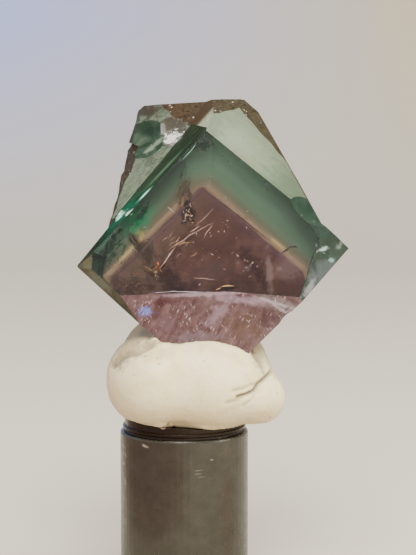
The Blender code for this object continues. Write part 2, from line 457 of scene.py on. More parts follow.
# Colour ramps: of the mottle inside the zones, of the skin from the window to 12 mm deep, and of the mauve's
# strength from 2 mm inside the skin to the skin.
CORE_COLOURS = [(0.0, (80, 46, 42)), (0.5, (100, 62, 54)), (1.0, (122, 82, 72))]
SKIN_COLOURS = [
    (0.0, (182, 150, 122)), (0.035, (158, 136, 112)), (0.09, (134, 132, 108)), (0.25, (152, 176, 148)),
    (0.5, (240, 255, 236)), (1.0, (255, 255, 240)),
]
RIM_STRENGTHS = ((0.0, 0), (0.45, 0.25), (0.62, 0.75), (0.72, 0.1), (0.80, 0))
RIM_GREYS = [(place, (strength, strength, strength, 1)) for place, strength in RIM_STRENGTHS]
CORE_OPEN = ("upper_right", "strip", "ledge")  # the faces that the skin stands back from by itself
CORE_INSET = {"window": 0.15, "upper_right_back": 3.0, "upper_left_back": 3.0}
FACE_INSET = 0.4  # mm, behind the other faces
BREAK_INSET = 0.6
RIGHT_STEP = ((12.0, 9.0, 6.4), (0.87, 0.0, 0.49))  # like a break, where the stone steps in at its right
BLOCK_SIZE = 90  # mm, more than the stone


def zone_at(point):
    """How far outside the growth zones' skin a point lies, in mm."""
    left = beyond(point, plane_of(LEFT_SKIN))
    right = beyond(point, plane_of(RIGHT_SKIN))
    zone = maths("SMOOTH_MAX", left, right, 0.3)
    return maths("ADD", zone, scaled(noise_at(point, 0.5), 0, 1, -0.12, 0.12))


def paint_core(point):
    """Brown and mauve inside, a beige line at the window, and the zones' skin behind it."""
    depth = along_axis(point, (0, 1, 0))
    zone = maths("ADD", zone_at(point), scaled(depth, 0.2, 0.9, 0, 2.0))
    inner = ramp(mottle(point, 0.28, 0.3, 0.7, detail=5, roughness=0.6), CORE_COLOURS)
    streaks = striations(point, (0.73, 0, 0.68), 1.3, 7, 0.45, 0.75, 0.45)
    inner = blend(streaks, inner, (80, 42, 42))
    side = scaled(along_axis(point, (0.8, 0, -0.6)), -7, -1)
    inner = blend(side, blend(0.55, inner, (134, 110, 88)), inner)
    inner = blend(ramp(scaled(zone, -2, 0), RIM_GREYS), inner, (104, 72, 86))
    skin = ramp(scaled(depth, 0, 12), SKIN_COLOURS)
    colour = blend(scaled(zone, -0.62, -0.30), inner, skin)
    return add_patches(point, colour, CORE_PATCHES)


def core_material():
    mat, tree, shader = new_material("fluorite_core")
    colour = paint_core(crystal_point(tree))
    inputs = {"Base Color": colour, "Roughness": 0.6, "IOR": 1.1, "Transmission Weight": 0.3}
    set_inputs(shader, inputs)
    return mat


def cut_block(planes):
    bm = bmesh.new()
    bmesh.ops.create_cube(bm, size=BLOCK_SIZE)
    for normal, distance in planes:
        bmesh.ops.bisect_plane(
            bm,
            geom=bm.verts[:] + bm.edges[:] + bm.faces[:],
            plane_co=normal * distance,
            plane_no=normal,
            clear_outer=True,
        )
        bmesh.ops.holes_fill(bm, edges=[e for e in bm.edges if e.is_boundary])
    bmesh.ops.recalc_face_normals(bm, faces=bm.faces)
    return bm


def core_piece():
    planes = [plane_of(LEFT_SKIN), plane_of(RIGHT_SKIN)]
    for name, face in FACES.items():
        if name not in CORE_OPEN:
            normal, distance = plane_of(face)
            planes.append((normal, distance - CORE_INSET.get(name, FACE_INSET)))
    for point, facing in BREAKS + [RIGHT_STEP]:
        normal = Vector(facing).normalized()
        planes.append((normal, normal.dot(Vector(point)) - BREAK_INSET))
    bm = cut_block(planes)
    to_frame(bm)
    core = object_from(bm, "fluorite_core")
    core.data.materials.append(core_material())
    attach(core, "root")
    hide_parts("crystal")


# -------- cracks, streaks and painted glints inside it

# Cracks, streaks and painted glints just behind the crystal's front: points (x, z) in mm, the half width and
# the colour.
THREADS = [
    ([(-11.7, -2.5), (-8.2, 0.7), (-4.2, 4.4), (-1.3, 7.0)], 0.11, "wine"),
    ([(-0.7, 7.5), (2.6, 4.8), (5.6, 2.2), (7.2, 0.9)], 0.07, "wine"),
    ([(-9.9, 2.6), (-9.2, 1.4), (-8.6, 0.6)], 0.11, "dark"),
    ([(-9.4, 2.8), (-8.9, 2.1), (-8.2, 1.2)], 0.04, "rust"),
    ([(-8.6, 1.2), (-8.5, 0.0), (-8.1, -1.2), (-7.5, -1.9)], 0.07, "dark"),
    ([(-8.0, 1.9), (-7.2, 1.7), (-7.1, 0.7), (-7.5, -0.7), (-7.8, -1.5)], 0.04, "dark"),
    ([(-7.5, -1.6), (-6.7, -2.6), (-6.0, -3.4)], 0.12, "dark"),
    ([(-5.9, 0.8), (-5.6, 0.2), (-6.0, -0.4), (-6.6, -0.1)], 0.03, "dark"),
    ([(-8.2, -0.6), (-8.0, -1.5), (-7.2, -2.0), (-6.4, -2.9)], 0.03, "gold"),
    ([(-6.6, -0.9), (-6.5, -1.1), (-6.5, -1.3)], 0.08, "orange"),
    ([(-6.6, -1.3), (-7.2, -1.9), (-7.8, -1.8)], 0.025, "gold"),
    ([(-6.8, -1.9), (-6.9, -2.4), (-7.0, -2.8)], 0.025, "gold"),
    ([(-6.4, -1.8), (-5.8, -1.0), (-5.0, 0.0), (-4.3, 0.9)], 0.05, "pink"),
    ([(-6.2, -1.5), (-5.6, -0.8), (-4.9, 0.2)], 0.04, "white"),
    ([(-5.4, 0.4), (-4.2, 1.1), (-2.6, 2.1), (-1.1, 2.9), (0.3, 3.5)], 0.035, "pink"),
    ([(-4.6, 0.9), (-3.6, 1.2), (-2.4, 1.3)], 0.03, "gold"),
    ([(-2.6, 2.5), (-2.0, 2.85), (-1.4, 3.2)], 0.05, "pink"),
    ([(-1.0, 1.7), (-0.5, 2.5), (0.2, 3.3)], 0.05, "pink"),
    ([(-1.8, 3.3), (-0.7, 4.2), (0.5, 5.3)], 0.025, "pink"),
    ([(-5.2, 5.6), (-4.7, 5.2), (-4.3, 4.8)], 0.04, "white"),
    ([(0.9, -4.15), (1.6, -4.05), (2.5, -4.15)], 0.09, "gold"),
    ([(0.2, -4.5), (0.9, -4.3)], 0.06, "gold"),
    ([(8.2, -0.5), (8.8, -0.15), (9.3, 0.25), (9.9, 0.3), (10.2, 0.1)], 0.14, "dark"),
    ([(-2.4, -3.0), (-1.2, -3.1), (0.2, -3.35)], 0.04, "pink"),
    ([(8.9, 6.9), (9.8, 6.2), (10.7, 5.0), (11.3, 3.8), (12.0, 2.5)], 0.14, "deep"),
    ([(12.0, 2.5), (12.9, 1.2), (12.5, 0.0), (12.0, -1.0), (11.6, -2.1), (11.2, -3.2)], 0.1, "deep"),
    ([(6.5, 8.2), (6.9, 7.6), (7.0, 7.2)], 0.1, "deep"),
    ([(-2.6, 14.0), (-1.6, 14.3), (-0.6, 14.4)], 0.12, "deep"),
    ([(-1.7, 13.2), (-1.3, 13.7)], 0.09, "deep"),
    ([(0.2, 12.9), (0.3, 13.6)], 0.09, "deep"),
    ([(-4.6, 10.1), (-3.4, 11.2), (-2.4, 12.3)], 0.09, "deep"),
    ([(-3.2, 11.1), (-2.2, 12.1), (-1.4, 13.0)], 0.04, "mint"),
    ([(-7.9, -4.7), (-5.2, -4.5), (-1.7, -4.75), (1.9, -4.9), (5.5, -5.4), (9.1, -6.0)], 0.05, "lilac"),
    ([(-1.8, -5.2), (2.5, -5.6), (6.3, -6.8), (9.0, -8.2)], 0.1, "lilac"),
    ([(1.0, -5.4), (4.4, -6.1), (7.0, -7.3), (8.6, -8.4)], 0.06, "lilac"),
    ([(3.0, -5.5), (6.2, -6.2), (9.6, -7.4)], 0.08, "lilac"),
    ([(6.9, -7.0), (6.8, -8.3)], 0.06, "white"),
]
# Seeded sprays of short strokes: the middle, the spread both ways, how many, the turn of the strokes and how
# much it varies in degrees, their shortest and longest length and half width in mm, and their colours.
SPRAYS = [
    ((-7.9, -0.4), (1.2, 1.7), 34, (-58, 30), (0.3, 1.1), (0.02, 0.04), "dark dark rust"),
    ((-7.0, -2.2), (0.8, 1.0), 16, (-50, 70), (0.1, 0.5), (0.02, 0.03), "gold orange rust dark"),
    ((-10.2, -3.4), (2.2, 0.7), 60, (20, 80), (0.1, 0.5), (0.02, 0.07), "dark rust dark"),
    ((-2.8, 4.3), (0.6, 1.2), 26, (60, 80), (0.2, 0.6), (0.02, 0.06), "dark dark gold pink"),
    ((-3.1, 7.2), (0.7, 1.3), 18, (75, 14), (0.6, 1.5), (0.03, 0.06), "rust dark"),
    ((-3.6, 1.2), (2.0, 1.2), 22, (35, 25), (0.3, 1.3), (0.02, 0.035), "pink gold rust"),
    ((0.5, 1.5), (4.5, 3.4), 40, (30, 90), (0.1, 0.5), (0.02, 0.04), "pink white rust"),
    ((4.6, -1.8), (2.0, 1.6), 22, (0, 90), (0.1, 0.4), (0.02, 0.05), "wine pink"),
    ((-9.3, 4.4), (1.1, 0.9), 16, (46, 16), (0.2, 0.8), (0.02, 0.04), "deep emerald deep mint"),
    ((-10.7, 4.8), (0.5, 0.5), 14, (45, 50), (0.1, 0.4), (0.03, 0.06), "mint white"),
    ((-12.2, 0.9), (1.2, 1.5), 20, (60, 50), (0.1, 0.4), (0.03, 0.06), "deep"),
    ((-11.6, -0.9), (1.2, 0.5), 10, (70, 30), (0.2, 0.6), (0.02, 0.05), "deep"),
    ((-1.2, 13.4), (1.3, 0.5), 20, (40, 40), (0.2, 0.7), (0.03, 0.08), "deep"),
    ((13.3, -0.4), (0.6, 0.5), 14, (-30, 50), (0.1, 0.5), (0.03, 0.08), "aqua white"),
    ((-3.6, -7.4), (2.4, 1.5), 80, (62, 34), (0.2, 0.9), (0.02, 0.05), "lilac pink wine"),
    ((3.4, -8.9), (2.4, 1.5), 60, (60, 60), (0.2, 0.8), (0.02, 0.05), "pink gold wine rust"),
    ((-3.2, -10.4), (3.2, 0.6), 34, (-60, 40), (0.2, 0.8), (0.02, 0.05), "white lilac"),
    ((5.5, 12.6), (2.6, 2.4), 26, (-35, 30), (0.1, 0.4), (0.02, 0.04), "white deep"),
    ((0.5, 10.5), (4.5, 2.2), 26, (30, 90), (0.05, 0.2), (0.02, 0.04), "mint deep"),
]
# The gold, orange, emerald, mint, aqua and white flakes are painted glints of light, the gold and orange
# ones along cracks.
THREAD_COLOURS = {
    "dark": (40, 27, 20),
    "rust": (96, 56, 38),
    "wine": (84, 44, 50),
    "deep": (26, 44, 32),
    "emerald": (10, 140, 96),
    "mint": (160, 238, 206),
    "aqua": (150, 222, 220),
    "gold": (220, 164, 98),
    "orange": (226, 112, 44),
    "pink": (222, 180, 166),
    "white": (248, 242, 234),
    "lilac": (238, 216, 234),
}
THREAD_STEP = 0.25  # mm
THREAD_DEPTH = 0.07  # mm behind the front
THREAD_WANDER = 0.07  # mm
THREAD_ENDS = 0.2  # their width, as a share of the middle's
THREAD_UNEVEN = 0.7  # how much the width varies
SPRAY_SEED = 3


def depth_on(face, x, z):
    """How deep in the stone, along its y axis, a flat face lies at x and z."""
    normal, reach = plane_of(FACES[face])
    return (reach - normal.x * x - normal.z * z) / normal.y


def front_depth(x, z):
    """How deep the crystal's front lies at x and z, all its flat faces together."""
    convex = ["upper_right", "left_tip", "lower_left_bevel", "right_tip_upper", "right_tip_lower"]
    bottom = min(depth_on("bottom_left", x, z), depth_on("bottom_right", x, z))
    upper_left = min(depth_on("strip", x, z), depth_on("ledge", x, z))
    return max(0.0, bottom, upper_left, *(depth_on(face, x, z) for face in convex))


def front_corner(bm, spot):
    """A corner of a flake that lies just behind the crystal's front."""
    return bm.verts.new((spot.x, front_depth(spot.x, spot.y) + THREAD_DEPTH, spot.y))


def thread_line(points):
    """Even steps along a broken line of (x, z) points."""
    corners = [Vector(point) for point in points]
    line = []
    for start, end in zip(corners, corners[1:]):
        count = max(2, round((end - start).length / THREAD_STEP))
        line += [start.lerp(end, i / count) for i in range(count)]
    return line + [corners[-1]]


def add_thread(bm, points, half_width, material_index):
    """A flake along a line, narrow at its ends, of uneven width and a little off its line."""
    line = thread_line(points)
    pairs = []
    for index, place in enumerate(line):
        along = line[min(index + 1, len(line) - 1)] - line[max(index - 1, 0)]
        aside = Vector((-along.y, along.x)).normalized()
        share = index / (len(line) - 1)
        width = half_width * (THREAD_ENDS + (1 - THREAD_ENDS) * math.sin(math.pi * share))
        width *= 1 + THREAD_UNEVEN * noise.noise(Vector((place.x * 3, place.y * 3, 0)))
        place = place + aside * THREAD_WANDER * noise.noise(Vector((place.x * 1.6, place.y * 1.6, 5)))
        pairs.append([front_corner(bm, place + aside * side * width) for side in (-1, 1)])
    for first, second in zip(pairs, pairs[1:]):
        made = bm.faces.new((first[0], first[1], second[1], second[0]))
        made.material_index = material_index


def add_spray(bm, spray, rng, names):
    middle, spread, count, (turn, vary), lengths, widths, colours = spray
    for _ in range(count):
        start = Vector((rng.gauss(middle[0], spread[0] * 0.6), rng.gauss(middle[1], spread[1] * 0.6)))
        angle = math.radians(turn + rng.uniform(-vary, vary))
        step = Vector((math.cos(angle), math.sin(angle))) * rng.uniform(*lengths)
        bend = Vector((-step.y, step.x)) * rng.uniform(-0.15, 0.15)
        points = [start - step / 2, start + bend, start + step / 2]
        add_thread(bm, points, rng.uniform(*widths), names.index(rng.choice(colours.split())))


def is_inside(tree, co):
    """Whether a ray from a point leaves a closed surface an odd number of times."""
    way = Vector((0.3, 0.9, 0.2)).normalized()
    crossings = 0
    while True:
        hit = tree.ray_cast(co, way)[0]
        if hit is None:
            return crossings % 2 == 1
        crossings += 1
        co = hit + way * 1e-7


def inclusions_and_glints_piece(stone):
    """Cracks, streaks and painted glints as thin flakes, cut off where they would leave the stone."""
    names = list(THREAD_COLOURS)
    bm = bmesh.new()
    for points, half_width, colour in THREADS:
        add_thread(bm, points, half_width, names.index(colour))
    rng = random.Random(SPRAY_SEED)
    for spray in SPRAYS:
        add_spray(bm, spray, rng, names)
    to_frame(bm)
    surface = tree_of(stone)
    outside = [vert for vert in bm.verts if not is_inside(surface, vert.co)]
    bmesh.ops.delete(bm, geom=outside, context="VERTS")
    loose = [vert for vert in bm.verts if not vert.link_faces]
    bmesh.ops.delete(bm, geom=loose, context="VERTS")
    piece = object_from(bm, "fluorite_inclusions_and_glints")
    for name, tint in THREAD_COLOURS.items():
        mat, _, shader = new_material(f"fluorite_{name}_flake")
        set_inputs(shader, {"Base Color": linear(*tint), "Roughness": 0.4})
        piece.data.materials.append(mat)
    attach(piece, "root")
    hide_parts("crystal")


# -------- the crystal's surface

# Patches on its faces, given as those inside it are.
STRIP_PATCHES = [
    # The emerald and the mint to white patches at the strip's lower end are painted highlights.
    ((-10.4, 5.3), (1.3, 3.0), -46, 0.5, 0.85, (24, 88, 64)),
    ((-7.9, 7.2), (0.42, 1.6), -46, 0.3, 0.8, (20, 110, 80)),
    ((-7.9, 7.2), (0.13, 1.3), -46, 0.2, 0.9, (214, 252, 236)),
    ((-11.0, 5.0), (0.4, 0.9), -40, 0.8, 0.95, (196, 250, 226)),
    ((-9.6, 5.2), (0.2, 0.8), -60, 0.6, 0.85, (230, 255, 240)),
    ((-3.0, 12.6), (1.6, 3.2), -46, 0.7, 0.45, (28, 40, 30)),
    ((-5.5, 10.2), (0.22, 4.4), -46, 0.3, 0.5, (96, 128, 100)),
]
STRIP_COLOURS = [
    (0.0, (46, 52, 42)), (0.35, (44, 56, 44)), (0.6, (28, 58, 42)), (0.72, (6, 60, 40)),
    (0.85, (18, 34, 24)), (1.0, (52, 50, 32)),
]
LEDGE_PATCHES = [
    ((-7.6, 18.4), (2.8, 1.7), 0, 0.4, 1.0, (60, 46, 34)),
    ((-8.6, 15.4), (2.3, 3.2), 20, 0.7, 0.85, (46, 66, 52)),
    ((-7.2, 12.2), (1.2, 1.2), 0, 0.8, 0.6, (54, 72, 58)),
    ((-9.9, 9.6), (1.2, 3.0), -22, 0.7, 0.45, (128, 144, 118)),
]
UPPER_RIGHT_PATCHES = [
    ((4.0, 11.6), (0.9, 3.2), 52, 0.5, 0.5, (190, 164, 142)),
    ((9.6, 7.2), (4.6, 4.6), 0, 0.4, 0.75, (112, 134, 102)),
    ((3.6, 13.4), (3.0, 2.2), -30, 0.5, 0.35, (214, 214, 204)),
]
SHELL_PATCHES = [
    ((11.2, 4.6), (1.6, 2.2), 32, 0.6, 0.7, (44, 64, 50)),
    ((-9.0, 14.0), (0.5, 2.0), -60, 0.5, 0.4, (104, 118, 100)),
    ((-8.6, 16.3), (1.6, 1.0), 10, 0.7, 0.6, (38, 48, 38)),
    ((-6.9, 13.6), (0.4, 1.8), -50, 0.6, 0.6, (150, 166, 142)),
    ((-7.9, 13.9), (0.3, 1.2), -70, 0.6, 0.6, (24, 38, 30)),
]
TIP_PATCHES = [
    ((12.0, 3.6), (0.8, 2.8), 28, 0.6, 0.85, (48, 68, 52)),
    ((12.9, -3.4), (1.8, 3.4), -40, 0.5, 0.8, (116, 130, 132)),
    ((12.3, 1.0), (0.35, 2.2), 15, 0.7, 0.9, (26, 44, 34)),
    ((12.0, -1.8), (0.3, 1.6), 15, 0.7, 0.8, (44, 66, 58)),
    # Painted glints of light on the right tip.
    ((13.1, -0.2), (0.8, 0.26), 18, 0.8, 0.95, (226, 250, 244)),
    ((13.4, -0.7), (0.4, 0.14), -30, 0.8, 0.8, (150, 210, 200)),
    ((14.2, -1.5), (0.5, 0.25), -30, 0.8, 0.85, (190, 236, 236)),
    ((11.6, -4.6), (0.5, 1.6), -42, 0.6, 0.6, (220, 222, 224)),
    ((15.3, 0.2), (0.9, 0.35), 45, 0.6, 0.6, (190, 206, 196)),
    ((-15.0, -0.6), (0.8, 1.6), 20, 0.5, 0.8, (122, 112, 74)),
    ((-13.6, -3.0), (1.0, 2.6), 45, 0.5, 0.6, (150, 158, 136)),
]
BOTTOM_PATCHES = [
    ((-8.2, -6.8), (1.25, 0.75), -10, 0.5, 0.95, (150, 154, 240)),
    ((3.6, -9.0), (2.6, 1.9), 10, 0.7, 0.55, (112, 84, 64)),
    ((6.6, -8.2), (1.8, 1.2), -30, 0.8, 0.75, (84, 46, 52)),
    ((0.2, -7.5), (0.9, 2.8), -47, 0.6, 0.4, (206, 176, 196)),
    ((-1.5, -5.0), (6.5, 0.35), 0, 0.3, 0.6, (226, 196, 212)),
    ((3.0, -5.8), (4.8, 0.6), -8, 0.4, 0.55, (206, 176, 194)),
    ((8.4, -6.6), (3.6, 0.9), -24, 0.5, 0.6, (172, 156, 160)),
    ((7.4, -6.4), (3.4, 0.22), -20, 0.3, 0.6, (226, 212, 220)),
    ((8.6, -7.6), (2.2, 0.2), -34, 0.3, 0.6, (226, 212, 220)),
    ((-5.6, -5.75), (2.4, 0.5), 2, 0.6, 0.75, (92, 50, 52)),
    ((9.2, -6.1), (2.0, 0.25), -26, 0.5, 0.7, (96, 60, 64)),
    ((-2.6, -10.2), (3.6, 0.8), 0, 0.8, 0.5, (150, 132, 148)),
    ((-6.0, -8.6), (1.5, 1.1), -45, 0.8, 0.4, (150, 120, 134)),
]
# Dabs on the two faces above the putty: their turn in degrees, size, strength and colour. The pale ones are
# painted glints.
BOTTOM_DABS = [
    (62, 0.22, 0.8, (250, 226, 228)),
    (-50, 0.20, 0.6, (250, 226, 228)),
    (100, 0.17, 0.9, (250, 226, 228)),
    (35, 0.36, 0.6, (70, 38, 42)),
]
PAINTED_SHINE_MIDDLE = ((-4.3, 14.5), (2.1, 1.6), 20, 0.3)  # the middle of the painted shine: a patch with no strength or colour
WINDOW_COLOUR = (247, 248, 246)


def paint_strip(point):
    along = scaled(along_axis(point, (-0.707, 0, -0.707)), -11, 12)
    lines = striations(point, (0.75, 0, 0.66), 2.2, 7, 0.42, 0.68)
    layers = [
        (times(lines, 0.7), (62, 76, 58)),
        (striations(point, (0.75, 0, 0.66), 1.1, 5, 0.52, 0.68, 0.8), (24, 32, 25)),
    ]
    colour = layered(ramp(along, STRIP_COLOURS), layers)
    return add_patches(point, colour, STRIP_PATCHES)


def paint_ledge(point):
    layers = [
        (striations(point, (-0.6, 0, -0.8), 3.5, 10, 0.35, 0.7), (84, 104, 82)),
        (mottle(point, 1.8, 0.5, 0.66, 0.7, detail=6, roughness=0.75), (70, 86, 68)),
    ]
    return add_patches(point, layered((140, 152, 128), layers), LEDGE_PATCHES)


def paint_edge(point):
    """Pale towards the upper right face, and brown towards the broken ground."""
    layers = [
        (mottle(point, 1.4, 0.35, 0.65, detail=5, roughness=0.7), (136, 142, 120)),
        (scaled(along_axis(point, (0, 1, 0)), 4.5, 6.5), (76, 62, 48)),
    ]
    return layered((176, 182, 160), layers)


def paint_upper_right(point):
    dark = mottle(point, 1.2, 0.35, 0.7, detail=5, roughness=0.7)
    colour = blend(dark, (189, 202, 169), (166, 185, 149))
    colour = add_patches(point, colour, UPPER_RIGHT_PATCHES)
    dots = thinned_specks(point, 1.1, 0.10, 0.4, 0.5, 0.6)
    return blend(dots, colour, (120, 128, 110))


def paint_break(point):
    side = scaled(along_axis(point, (1, 0, 0)), -10, 4)
    colour = ramp(side, [(0.0, (80, 72, 58)), (0.3, (84, 64, 48)), (1.0, (86, 80, 60))])
    layers = [
        (mottle(point, 1.6, 0.42, 0.62, detail=6, roughness=0.75), (66, 54, 42)),
        (mottle(point, 3.2, 0.56, 0.64, 0.8, detail=4, distortion=1.0), (38, 30, 24)),
        # Pale specks: painted glints on the broken ground.
        (thinned_specks(point, 1.6, 0.22, 0.5, 0.52, 0.6), (235, 232, 220)),
    ]
    return layered(colour, layers)


def paint_shell(point):
    layers = [
        (mottle(point, 0.55, 0.36, 0.64, detail=3, distortion=0.4), (38, 56, 46)),
        (thinned_specks(point, 1.2, 0.16, 0.5, 0.5, 0.6), (220, 228, 216)),
    ]
    return add_patches(point, layered((64, 82, 68), layers), SHELL_PATCHES)


def paint_mirror_and_painted_shine(point):
    """A crumpled patch with a painted silver-white reflection, with brown between."""
    crumple = noise_at(point, 1.0, detail=6, roughness=0.7, distortion=1.2)
    middle = patch_mask(point, patch_grain(point), *PAINTED_SHINE_MIDDLE)
    painted_shine = maths("ADD", crumple, scaled(middle, 0, 1, -0.18, 0.12))
    return ramp(painted_shine, [(0.40, (78, 72, 60)), (0.52, (120, 122, 110)), (0.57, (240, 240, 236))])


def paint_tips(point):
    layers = [
        (scaled(along_axis(point, (1, 0, 0)), -14, 12), (62, 86, 70)),
        (mottle(point, 0.6, 0.42, 0.66, 0.7, detail=4, distortion=0.5), (46, 66, 54)),
    ]
    return add_patches(point, layered((108, 106, 82), layers), TIP_PATCHES)


def paint_bottom(point):
    lines = striations(point, (0.5, 0, 0.86), 1.1, 2.5, 0.35, 0.68)
    colour = blend(lines, (148, 116, 118), (96, 64, 66))
    colour = add_patches(point, colour, BOTTOM_PATCHES)
    for turn, size, strength, tint in BOTTOM_DABS:
        mask = times(dabs(point, turn, size, 0.46, 0.58), strength)
        colour = blend(mask, colour, tint)
    return colour


def paint_back(point):
    return blend(mottle(point, 0.3, 0.35, 0.65, detail=4), (244, 250, 242), (226, 238, 224))


GREEN_ABSORB = (0.05, 0.66, 0.44, 1)
GREEN_DENSITY = 58
FLUORITE = 1.434  # its refractive index
DULL = 1.05  # for faces seen so nearly edge on that they would mirror the room
BROKEN = 1.25  # for rough ground, which mirrors little
# What each kind of face is painted with, its roughness, its transmission and its index.
FINISHES = {
    "window": (WINDOW_COLOUR, 0.03, 1.0, FLUORITE),
    "upper_right": (paint_upper_right, 0.12, 0.7, FLUORITE),
    "strip": (paint_strip, 0.12, 0.15, DULL),
    "ledge": (paint_ledge, 0.14, 0.5, FLUORITE),
    "edge": (paint_edge, 0.3, 0.2, DULL),
    "tips": (paint_tips, 0.06, 0.6, FLUORITE),
    "bottom": (paint_bottom, 0.06, 0.5, FLUORITE),
    "back": (paint_back, 0.25, 1.0, FLUORITE),
    "shell": (paint_shell, 0.3, 0.25, BROKEN),
    "mirror": (paint_mirror_and_painted_shine, 0.2, 0.3, FLUORITE),
    "break": (paint_break, 0.55, 0.35, BROKEN),
}
# The kinds of the faces that have no kind of their own name. All others are the back's.
SHARED_KINDS = {
    "left_tip": "tips",
    "lower_left_bevel": "tips",
    "right_tip_upper": "tips",
    "right_tip_lower": "tips",
    "bottom_left": "bottom",
    "bottom_right": "bottom",
}
# Shell-shaped chips: their kind, and their ball's middle and radius in mm.
SHELLS = [
    ("shell", (-9.4, 6.9, 17.0), 5.3),
    ("mirror", (-5.9, 7.0, 17.2), 4.0),
    ("shell", (14.1, -2.6, 6.9), 5.3),
]
SAME_WAY = math.cos(math.radians(1.5))
FLAT_REACH = 0.05  # mm from a flat face's plane
SHELL_REACH = 0.12  # mm from a shell's ball
BREAK_REACH = 1.2  # mm from a break's plane
BREAK_CELL = 0.35 * MM
BREAK_ROUNDS = 6
CRUMBLE_DEPTH = 0.10  # mm
CRUMBLE_FLAT = 0.05  # mm of that depth that stay flat
CRUMBLE_SCALE = 0.9  # lumps to a mm
CHIP_DEPTH = 0.05
CHIP_SCALE = 2.2
SAME_PLACE = 1e-6  # m


def fluorite_finish(kind):
    """Clear glass with a green absorption. A face with a lowered index mirrors nothing."""
    paint, roughness, transmission, ior = FINISHES[kind]
    mat, tree, shader = new_material(f"fluorite_{kind}")
    colour = paint(crystal_point(tree)) if callable(paint) else linear(*paint)
    inputs = {"Base Color": colour, "Roughness": roughness, "IOR": ior, "Transmission Weight": transmission}
    set_inputs(shader, inputs)
    if ior != FLUORITE:
        shader.inputs["Specular IOR Level"].default_value = 0.0
    absorption = new_node(tree, "VolumeAbsorption")
    set_inputs(absorption, {"Color": GREEN_ABSORB, "Density": GREEN_DENSITY})
    output = next(n for n in tree.nodes if n.type == "OUTPUT_MATERIAL")
    tree.links.new(absorption.outputs["Volume"], output.inputs["Volume"])
    return mat


def kind_of(middle, normal):
    """The kind of a face, from its middle in mm and its normal, both in the crystal's axes."""
    for name, face in FACES.items():
        direction, reach = plane_of(face)
        if direction.dot(normal) > SAME_WAY and abs(direction.dot(middle) - reach) < FLAT_REACH:
            if name == "strip" and middle.z > STRIP_TOP:
                return "edge"
            kind = SHARED_KINDS.get(name, name)
            return kind if kind in FINISHES else "back"
    for kind, centre, radius in SHELLS:
        if abs((middle - Vector(centre)).length - radius) < SHELL_REACH:
            return kind
    for point, facing in BREAKS:
        direction = Vector(facing).normalized()
        if abs(direction.dot(middle - Vector(point))) < BREAK_REACH and direction.dot(normal) > 0.5:
            return "break"
    return "back"


def refine_break(bm, broken):
    """Splits the broken faces until they are small, and roughens them inside their rims."""
    for _ in range(BREAK_ROUNDS):
        long_edges = [
            edge
            for edge in bm.edges
            if edge.calc_length() > BREAK_CELL and any(f.material_index == broken for f in edge.link_faces)
        ]
        if not long_edges:
            break
        bmesh.ops.subdivide_edges(bm, edges=long_edges, cuts=1)
        loose = [f for f in bm.faces if f.material_index == broken and len(f.verts) > 3]
        bmesh.ops.triangulate(bm, faces=loose)
    bm.normal_update()
    for vert in bm.verts:
        if all(face.material_index == broken for face in vert.link_faces):
            place = vert.co / MM
            lift = CRUMBLE_DEPTH * noise.turbulence(place * CRUMBLE_SCALE, 4, True) - CRUMBLE_FLAT
            lift += CHIP_DEPTH * noise.cell(place * CHIP_SCALE)
            vert.co = vert.co - vert.normal * max(0.0, lift) * MM


def split_strip(bm):
    """Parts the strip's dark face from the pale end above it."""
    place = crystal_place()
    direction, _ = plane_of(FACES["strip"])
    facing = place.to_3x3() @ direction
    faces = [face for face in bm.faces if face.normal.dot(facing) > SAME_WAY]
    parts = {part for face in faces for part in (face, *face.edges, *face.verts)}
    bmesh.ops.bisect_plane(
        bm,
        geom=list(parts),
        plane_co=place @ Vector((0, 0, STRIP_TOP * MM)),
        plane_no=place.to_3x3() @ Vector((0.55, 0, 0.84)),
    )


def crystal_piece(node):
    """The crystal's solid, each kind of face in its own material and the broken ground roughened."""
    bm = bmesh.new()
    bm.from_mesh(node.data)
    bmesh.ops.remove_doubles(bm, verts=bm.verts, dist=SAME_PLACE)
    bmesh.ops.dissolve_limit(bm, angle_limit=math.radians(0.4), verts=bm.verts, edges=bm.edges)
    to_crystal = crystal_place().inverted()
    turn = to_crystal.to_3x3()
    split_strip(bm)
    kinds = list(FINISHES)
    for face in bm.faces:
        kind = kind_of(to_crystal @ face.calc_center_median() / MM, turn @ face.normal)
        face.material_index = kinds.index(kind)
        face.smooth = kind in ("shell", "mirror")
    refine_break(bm, kinds.index("break"))
    piece = object_from(bm, "fluorite")
    for kind in kinds:
        piece.data.materials.append(fluorite_finish(kind))
    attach(piece, "root")
    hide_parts("crystal")
    return piece


# -------- putty

PUTTY_CELL = 0.2 * MM
PUTTY_SOFTENING = 5
CONTACT = 0.02 * MM  # the putty is pressed against the stone and the metal
CONTACT_REACH = (0.45, 0.75)  # mm from them where the putty is pulled in fully, and not at all
# Grooves on the putty's front, as points (x, z) in mm, with their depth and half width.
PUTTY_GROOVES = [
    ([(10.9, 27.0), (10.1, 26.6), (9.1, 26.0), (8.6, 25.2), (7.7, 24.8), (6.6, 24.5)], 0.6, 0.24),
    ([(9.1, 26.0), (8.2, 25.9), (7.2, 25.5), (6.0, 25.4)], 0.26, 0.2),
    ([(7.7, 24.8), (6.5, 24.1), (5.2, 23.9)], 0.24, 0.22),
    ([(8.8, 24.9), (8.1, 24.0), (7.2, 23.4)], 0.2, 0.2),
    ([(-8.6, 27.8), (-7.6, 28.9), (-7.0, 29.3), (-5.2, 29.8), (-3.8, 30.5)], 0.4, 0.3),
    ([(8.0, 30.4), (8.7, 29.2), (9.5, 28.0), (10.0, 27.0)], 0.4, 0.26),
]
FINGER_CENTRE = (7.7, 24.4)
FINGER_BAND = (2.2, 5.0)  # mm from that centre
FINGER_FADE = 0.8
FINGER_SPACING = 0.44
FINGER_HEIGHT = 0.055
